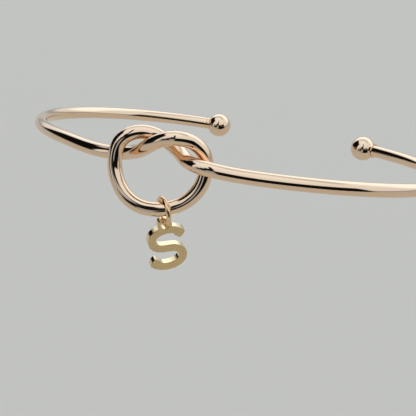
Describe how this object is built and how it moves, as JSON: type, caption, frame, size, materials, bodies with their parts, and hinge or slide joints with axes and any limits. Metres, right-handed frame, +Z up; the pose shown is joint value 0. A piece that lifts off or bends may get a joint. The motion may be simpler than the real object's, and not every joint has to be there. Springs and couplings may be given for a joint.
{
  "type": "charm bangle",
  "caption": "Open oval wire bangle with a loose overhand love knot at the front, a ball on each end, and a flat letter charm hanging from a jump ring on the knot's loop.",
  "frame": {"origin": "middle of the wrist opening, in the plane of the leaning oval", "axes": "+Z up against gravity, +X along the oval's long width to the right, -Y to the front, where the knot is. The oval leans back 18.5 degrees with its knot side up, and 1 degree sideways with its right side up"},
  "size_m": [0.0638, 0.0519, 0.0227],
  "materials": {
    "bangle_metal": "polished pale rose-gold plate",
    "ring_metal": "polished pale rose-gold plate",
    "charm_metal": "satin gold plate"
  },
  "bodies": {
    "bangle": {"bangle_wire": "bangle_metal"},
    "drop": {"jump_ring": "ring_metal", "letter_charm": "charm_metal"}
  },
  "joints": [
    {"name": "charm_swing", "type": "hinge", "parent": "bangle", "child": "drop", "pos_m": [0.00113, -0.02575, 0.00238], "axis": [0.888, 0.4413, 0.1293], "range_deg": [-180, 125]}
  ]
}
